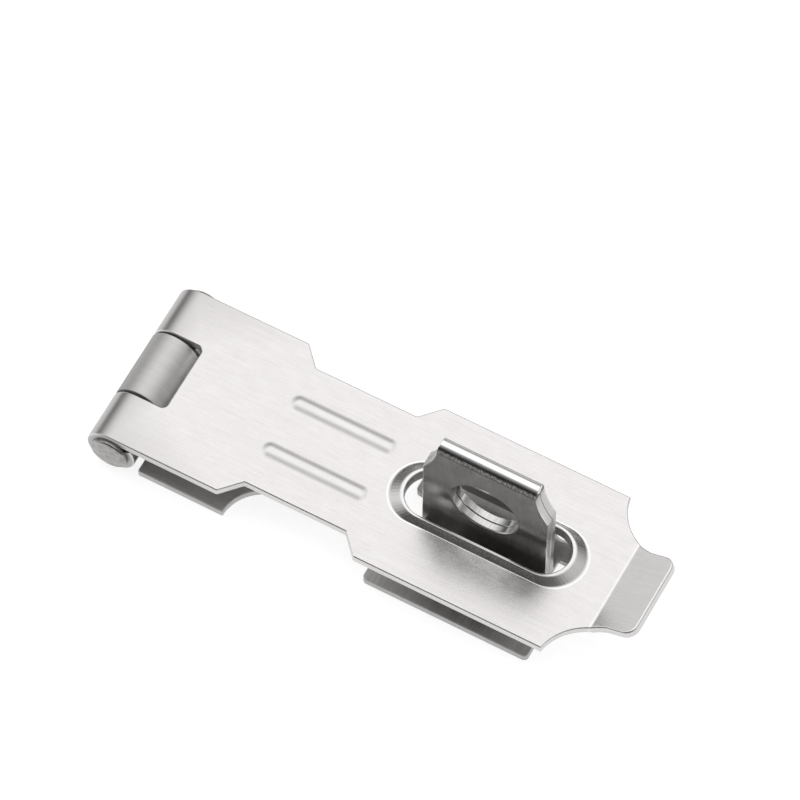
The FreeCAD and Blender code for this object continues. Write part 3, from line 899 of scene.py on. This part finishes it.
# %% Make the strap
def make_strap():
    blank = Blank()
    top, bottom = blank.swept_edge(strap_ring, rolled_edge(STRAP_EDGE_R))
    slot_top, slot_bottom = press_collar(blank)
    pairs = bend_pairs(strap_ring, roll_lines + tab_lines)
    for up, outer, hole in ((True, top, slot_top), (False, bottom, slot_bottom)):
        ribs = [press_rib(blank, side * RIB_SPACING / 2, up) for side in (-1, 1)]
        blank.fill(outer, [hole] + ribs, pairs, up)
    bends = [(tab_bend_start, tab_bend_length, -TAB_ANGLE, SHEET + TAB_BEND_R, 1.0),
             (AXIS_X, ROLL_LENGTH, ROLL_ANGLE, SHEET - KNUCKLE_R, -1.0)]
    values = {"Rib Height": RIB_HEIGHT, "Collar Height": COLLAR_HEIGHT,
              "Place": (0.0, 0.0, STRAP_TOP - SHEET), "Finish": strap_steel,
              **bend_values(bends)}
    return form("pressed_strap", blank.mesh("strap_blank", strap_dulled_and_shaded),
                make_forming_tree("Press and roll", len(bends)), values)


strap = make_strap()
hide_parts("hasp_strap")
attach(strap, "strap_body")

# %% [markdown]
# ## The hinge leaf
# The leaf stays screwed to the door. It is a shorter plate with one knuckle rolled
# upwards between the strap's two, and it is scooped in to a tongue. It uses the
# same cutter and the same tree with a single bend.

# %% The leaf's sizes and finish
LEAF_HALF = leaf_high.y
TONGUE_HALF = 8.1 * MM
LEAF_SHOULDER = AXIS_X + KNUCKLE_R + 0.4 * MM
LEAF_WIDE_END = LEAF_SHOULDER + 16.8 * MM
LEAF_END = leaf_high.x
LEAF_KNUCKLE_HALF = NOTCH_HALF - 0.4 * MM
SCREW_R = 2.1 * MM
MOUTH_R = 3.0 * MM
LEAF_SCREW_SPACING = 21.0 * MM
LEAF_SCREW_SETBACK = 8.3 * MM
LEAF_CORNER_R = 0.4 * MM
TONGUE_CORNER_R = 3.0 * MM
LEAF_EDGE_R = 0.25 * MM
leaf_steel = brushed_steel("leaf_satin", (0.56, 0.555, 0.55), (0.70, 0.695, 0.69), 0.52, 0.15,
                           rub_and_highlight=0.3, dulling_and_shade=0.75)
print("leaf is", round((LEAF_END - LEAF_SHOULDER) / MM, 2), "mm long past its shoulder")


# %% Make the leaf
def make_leaf():
    scoop_r = LEAF_HALF - TONGUE_HALF
    diagonal_r = scoop_r * math.sqrt(0.5)
    curve = arc_through((LEAF_WIDE_END, LEAF_HALF),
                        (LEAF_WIDE_END + scoop_r - diagonal_r, LEAF_HALF - diagonal_r),
                        (LEAF_WIDE_END + scoop_r, TONGUE_HALF), SCOOP_STEPS)
    start = outline([(roll_end, 0.0, 0), (roll_end, LEAF_KNUCKLE_HALF, 0),
                     (LEAF_SHOULDER, LEAF_KNUCKLE_HALF, LEAF_CORNER_R),
                     (LEAF_SHOULDER, LEAF_HALF, LEAF_CORNER_R), (LEAF_WIDE_END, LEAF_HALF, 0)])
    tongue = outline([curve[-1] + (0,), (LEAF_END, TONGUE_HALF, TONGUE_CORNER_R),
                      (LEAF_END, 0.0, 0)])
    ring = without_doubles(both_sides(start[1:] + curve[1:] + tongue[1:-1]))
    ring = split_at(ring, roll_lines)
    first = LEAF_SHOULDER + LEAF_SCREW_SETBACK
    third = first + LEAF_SCREW_SPACING * math.sqrt(3) / 2
    holes = [(first, LEAF_SCREW_SPACING / 2), (first, -LEAF_SCREW_SPACING / 2), (third, 0.0)]
    blank = Blank()
    top, bottom = blank.swept_edge(ring, rolled_edge(LEAF_EDGE_R))
    swept = [blank.swept_edge(circle(x, y, SCREW_R)[::-1], countersink(MOUTH_R, SCREW_R))
             for x, y in holes]
    pairs = bend_pairs(ring, roll_lines)
    blank.fill(top, [s[0] for s in swept], pairs, True)
    blank.fill(bottom, [s[1] for s in swept], pairs, False)
    bends = [(AXIS_X, ROLL_LENGTH, -ROLL_ANGLE, KNUCKLE_R, -1.0)]
    return form("rolled_leaf", blank.mesh("leaf_blank", leaf_dulled_and_shaded),
                make_forming_tree("Roll one end", len(bends)),
                {"Place": (0.0, 0.0, 0.0), "Finish": leaf_steel, **bend_values(bends)})


leaf = make_leaf()
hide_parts("hinge_leaf")
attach(leaf, "leaf_body")

# %% [markdown]
# ## The staple
# The staple is one sheet folded double. Flat, it is a long cross-shaped blank with
# two padlock holes, which land on each other once it is folded. Four bends shape
# it: two at the feet turn the flanges out, and two half bends meet at the fold.

# %% The staple's sizes
SEAM = 0.1 * MM
EYE_THICK = SHEET + SEAM / 2
EYE_TOP = staple_high.z
EYE_HALF = 12.0 * MM
FOLD_HALF = 9.4 * MM
SHOULDER_Z = STRAP_TOP + 13.1 * MM
HOLE_R = 6.4 * MM
HOLE_Z = STRAP_TOP + 7.9 * MM
FOOT_R = 0.8 * MM
PLATE_HALF_X = (staple_high.x - staple_low.x) / 2
PLATE_HALF_Y = staple_high.y
FLANGE_INNER = 3.6 * MM
FLANGE_CORNER_R = 0.9 * MM
STAPLE_SCREW_X = 10.5 * MM
STAPLE_SCREW_Y = 9.8 * MM
STAPLE_EDGE_R = 0.2 * MM
HOLE_EDGE_R = 0.25 * MM
HOLE_SIDES = 96
BEND_STEPS = 10
fold_length = (EYE_THICK - SHEET / 2) * math.pi / 2
foot_length = (FOOT_R + SHEET / 2) * math.pi / 2
fold_z = EYE_TOP - EYE_THICK
foot_z = SHEET + FOOT_R
foot_start = fold_length + fold_z - foot_z
foot_end = foot_start + foot_length
print("the blank is", round(2 * (foot_end + PLATE_HALF_Y - EYE_THICK - FOOT_R) / MM, 1), "mm long")

# %% The staple's finish, and places on its blank
# the painted shade starts where the eye drops below the strap's top, and ends on the flange
foot_shade_start = foot_start - STRAP_TOP + foot_z
foot_shade_end = foot_end + FLANGE_INNER
staple_steel = brushed_steel("staple_satin", (0.46, 0.455, 0.45), (0.72, 0.715, 0.71), 0.17, 0.40,
                             rub_and_highlight=0.5, folds=(fold_length / MM, foot_shade_start / MM, foot_shade_end / MM))


def down_sheet(z):
    """How far down the blank from the fold a height on the eye lies."""
    return fold_length + fold_z - z


def out_sheet(y):
    """How far down the blank a place out on the flange lies."""
    return foot_start + foot_length + (y - EYE_THICK - FOOT_R)


print("the padlock hole lies", round(down_sheet(HOLE_Z) / MM, 2), "mm down the blank")

# %% Make the staple
def staple_quarter():
    """From the fold to the flange's end, on one side: the bite, the eye, the flange."""
    depth = EYE_HALF - FOLD_HALF
    drop = EYE_TOP - SHOULDER_Z
    bite_r = (depth ** 2 + drop ** 2) / (2 * depth)
    bite = []
    for i in range(SCOOP_STEPS + 1):
        z = EYE_TOP - drop * i / SCOOP_STEPS
        width = FOLD_HALF + bite_r - math.sqrt(bite_r ** 2 - (EYE_TOP - z) ** 2)
        bite.append((max(down_sheet(z), 0.0), width))
    # the fold itself stays straight, so the bite's points on it are left out
    bite = [(0.0, FOLD_HALF)] + [p for p in bite if p[0] > fold_length * 1.05]
    rest = outline([(down_sheet(SHOULDER_Z), EYE_HALF, 0), (out_sheet(FLANGE_INNER), EYE_HALF, 0),
                    (out_sheet(FLANGE_INNER), PLATE_HALF_X, FLANGE_CORNER_R),
                    (out_sheet(PLATE_HALF_Y), PLATE_HALF_X, FLANGE_CORNER_R),
                    (out_sheet(PLATE_HALF_Y), 0.0, 0)])
    return bite + rest[1:-1]


def make_staple():
    # along runs out from the fold to each flange, across is the eye's width
    quarter = staple_quarter()
    upper = [(-x, y) for x, y in reversed(quarter[1:])] + quarter
    ring = without_doubles(both_sides(upper))
    fold_lines = [fold_length * i / BEND_STEPS for i in range(-BEND_STEPS, BEND_STEPS + 1) if i]
    foot_lines = [side * (foot_start + foot_length * i / BEND_STEPS)
                  for side in (-1, 1) for i in range(BEND_STEPS + 1)]
    ring = split_at(ring, fold_lines + foot_lines)
    blank = Blank()
    top, bottom = blank.swept_edge(ring, rolled_edge(STAPLE_EDGE_R))
    swept = []
    for side in (-1, 1):
        padlock_hole = circle(side * down_sheet(HOLE_Z), 0.0, HOLE_R, HOLE_SIDES)[::-1]
        swept.append(blank.swept_edge(padlock_hole, rolled_edge(HOLE_EDGE_R, sheared=0.1)))
        for across in (-STAPLE_SCREW_X, STAPLE_SCREW_X):
            screw_hole = circle(side * out_sheet(STAPLE_SCREW_Y), across, SCREW_R)[::-1]
            swept.append(blank.swept_edge(screw_hole, countersink(MOUTH_R, SCREW_R)))
    pairs = bend_pairs(ring, fold_lines + [0.0] + foot_lines)
    blank.fill(top, [s[0] for s in swept], pairs, True)
    blank.fill(bottom, [s[1] for s in swept], pairs, False)
    bends = [(side * foot_start, foot_length, -math.pi / 2, SHEET + FOOT_R, side)
             for side in (-1.0, 1.0)]
    bends += [(0.0, fold_length, math.pi / 2, SHEET - EYE_THICK, side) for side in (-1.0, 1.0)]
    return form("folded_staple", blank.mesh("staple_blank"),
                make_forming_tree("Fold double", len(bends)),
                {"Place": (SLOT_X, 0.0, EYE_TOP - SHEET), "Quarter Turns": 1.0,
                 "Finish": staple_steel, **bend_values(bends)})


staple = make_staple()
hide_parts("staple")
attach(staple, "staple_body")

# %% [markdown]
# ## The hinge pin
# The pin is a plain round bar whose ends were spread so that it can't fall out. A
# turned piece is simplest as a profile swung about its axis. The ends are slightly
# crowned, as a struck end is, and the rim is rounded.

# %% The pin's sizes
RUNNING_CLEARANCE = 0.05 * MM
PIN_R = KNUCKLE_R - SHEET - RUNNING_CLEARANCE
HEAD_R = pin_high.z - KNUCKLE_R
HEAD_START = STRAP_HALF
HEAD_END = pin_high.y
RIM_R = 0.45 * MM
CROWN = 0.22 * MM
FILLET = 0.02 * MM
INNER_RIM = 0.05 * MM
PIN_STEPS = 8
PIN_SIDES = 96
print("pin is", round(2 * HEAD_END / MM, 2), "mm long, heads", round(2 * HEAD_R / MM, 2), "mm wide")


# %% Make the pin
def pin_profile():
    """(distance along the pin, radius) from the middle to the crown of one end."""
    rows = [(0.0, PIN_R), (HEAD_START - FILLET, PIN_R), (HEAD_START, PIN_R + FILLET),
            (HEAD_START, HEAD_R - INNER_RIM), (HEAD_START + INNER_RIM, HEAD_R)]
    shoulder = HEAD_END - CROWN - RIM_R
    for i in range(PIN_STEPS + 1):
        turn = math.radians(90 * i / PIN_STEPS)
        rows.append((shoulder + RIM_R * math.sin(turn), HEAD_R - RIM_R + RIM_R * math.cos(turn)))
    flat_r = HEAD_R - RIM_R
    for i in range(1, PIN_STEPS + 1):
        share = 1 - i / PIN_STEPS
        rows.append((HEAD_END - CROWN * share ** 2, flat_r * share))
    return rows


def make_pin():
    profile = pin_profile()
    full = [(-y, r) for y, r in reversed(profile[1:])] + profile[1:]
    points, faces = [], []
    turns = [2 * math.pi * i / PIN_SIDES for i in range(PIN_SIDES)]
    for y, r in full[1:-1]:
        points += [(AXIS_X + r * math.cos(a), y, KNUCKLE_R + r * math.sin(a)) for a in turns]
    for k in range(len(full) - 3):
        for i in range(PIN_SIDES):
            j = (i + 1) % PIN_SIDES
            a, b = k * PIN_SIDES, (k + 1) * PIN_SIDES
            faces.append((a + i, b + i, b + j, a + j))
    for end, first in ((full[0][0], 0), (full[-1][0], (len(full) - 3) * PIN_SIDES)):
        tip = len(points)
        points.append((AXIS_X, end, KNUCKLE_R))
        for i in range(PIN_SIDES):
            j = (i + 1) % PIN_SIDES
            ring = (first + i, first + j, tip)
            faces.append(ring if end < 0 else ring[::-1])
    made = bpy.data.meshes.new("riveted_pin")
    made.from_pydata(points, [], faces)
    made.materials.append(pin_steel)
    made.shade_smooth()
    made.set_sharp_from_angle(angle=SHARP_ABOVE)
    piece = bpy.data.objects.new("riveted_pin", made)
    bpy.context.scene.collection.objects.link(piece)
    print("riveted_pin has", len(made.polygons), "faces")
    return piece


pin = make_pin()
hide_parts("hinge_pin")
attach(pin, "strap_body")

# %% [markdown]
# ## Floor
# Bright metal only shows what is around it, so the floor is part of the lighting: a
# pale sheet that the cut edges and the eye pick up. It glows a little, like a sheet of
# white plastic lit from below, which keeps the background clean and the shadows faint.

# %% Lay the floor
FLOOR_GREY = (0.50, 0.50, 0.50, 1.0)
FLOOR_GLOW = 0.80
FLOOR_HALF = 4.0
FLOOR_DROP = 0.02 * MM


def make_floor():
    finish = bpy.data.materials.new("pale_floor")
    finish.use_nodes = True
    finish.node_tree.nodes.clear()
    bench = Bench(finish.node_tree)
    shader = bench.node("ShaderNodeBsdfPrincipled", {},
                        {"Base Color": FLOOR_GREY, "Roughness": 0.9,
                         "Specular IOR Level": 0.1, "Emission Color": (1.0, 1.0, 1.0, 1.0),
                         "Emission Strength": FLOOR_GLOW})
    bench.node("ShaderNodeOutputMaterial", {}, {"Surface": shader})
    signs = ((-1, -1), (1, -1), (1, 1), (-1, 1))
    made = bpy.data.meshes.new("floor")
    made.from_pydata([(x * FLOOR_HALF, y * FLOOR_HALF, 0) for x, y in signs], [], [(0, 1, 2, 3)])
    made.materials.append(finish)
    floor = bpy.data.objects.new("floor", made)
    bpy.context.scene.collection.objects.link(floor)
    return floor


floor = make_floor()
floor.location.z = -FLOOR_DROP
print("floor", tuple(floor.dimensions))

# %% [markdown]
# ## Light
# A product shot of bright metal is lit by big soft surfaces. One large soft surface
# stands above and behind the hasp, so its top shines. It dims towards the tab's end,
# so the collar's slope on that side shows darker than the flat. Two weaker ones stand
# low on either side to pick out the collar, and the front stays dim, so that faces
# turned that way go grey and show the shape. Area lamps could do this, but a soft sky
# built from directions has no hard edges and lights the floor evenly.

# %% The studio's sky
SKY_COLOUR = (1.0, 0.995, 0.992, 1.0)
FRONT_DIM = 0.07
TOP_LIGHT = 0.10
BACK_LIGHT = 1.15
LEFT_LIGHT = 0.65
RIGHT_LIGHT = 0.30
TAB_END_DIMMING = 0.5


def make_sky():
    world = bpy.data.worlds.new("studio")
    bpy.context.scene.world = world
    world.use_nodes = True
    world.node_tree.nodes.clear()
    bench = Bench(world.node_tree)
    way = bench.node("ShaderNodeTexCoord", {}, {}, out="Generated")

    def facing(direction):
        aim = Vector(direction).normalized()
        return bench.node("ShaderNodeVectorMath", {"operation": "DOT_PRODUCT"},
                          {0: way, 1: tuple(aim)}, out="Value")

    back = bench.smooth_step(facing((0, 1, 0)), -0.50, 0.06)
    high = bench.smooth_step(facing((0, 0, 1)), 0.15, 0.80)
    left = bench.smooth_step(facing((-1.0, -0.30, 0.15)), 0.80, 0.96)
    right = bench.smooth_step(facing((0.88, 0.43, 0.15)), 0.80, 0.96)
    side = 1 - bench.smooth_step(facing((1, 0, 0)), 0.20, 0.70) * TAB_END_DIMMING
    glow = FRONT_DIM + high * TOP_LIGHT + back * high * side * BACK_LIGHT
    glow = glow + left * LEFT_LIGHT + right * RIGHT_LIGHT
    sky = bench.node("ShaderNodeBackground", {}, {"Color": SKY_COLOUR, "Strength": glow})
    bench.node("ShaderNodeOutputWorld", {}, {"Surface": sky})
    return world


make_sky()
bpy.context.scene.view_settings.view_transform = "Standard"
print("sky ready")

# %% [markdown]
# ## Camera
# The camera looks down from the hinge pin's near end with a long lens, so the long
# sides stay nearly parallel.

# %% Place the camera
AZIMUTH = math.radians(27.8)
ELEVATION = math.radians(61.1)
ROLL = math.radians(0.8)
LENS = 301.4
DISTANCE = 1142.8 * MM
AIM_LEFT = 15.04 * MM
AIM_UP = 21.27 * MM


def make_camera():
    back = Vector((math.sin(AZIMUTH) * math.cos(ELEVATION),
                   -math.cos(AZIMUTH) * math.cos(ELEVATION), math.sin(ELEVATION)))
    level = Vector((math.cos(AZIMUTH), math.sin(AZIMUTH), 0.0))
    upright = back.cross(level)
    right = math.cos(ROLL) * level + math.sin(ROLL) * upright
    up = math.cos(ROLL) * upright - math.sin(ROLL) * level
    data = bpy.data.cameras.new("camera")
    data.lens = LENS
    data.clip_start = 0.05
    data.clip_end = 20.0
    camera = bpy.data.objects.new("camera", data)
    aim = Vector((SLOT_X, 0.0, STRAP_TOP))
    spot = aim + back * DISTANCE - right * AIM_LEFT + up * AIM_UP
    turn = Matrix((right, up, back)).transposed()
    camera.matrix_world = Matrix.Translation(spot) @ turn.to_4x4()
    bpy.context.scene.collection.objects.link(camera)
    bpy.context.scene.camera = camera
    return camera


camera = make_camera()
print("camera at", [round(v, 4) for v in camera.location])
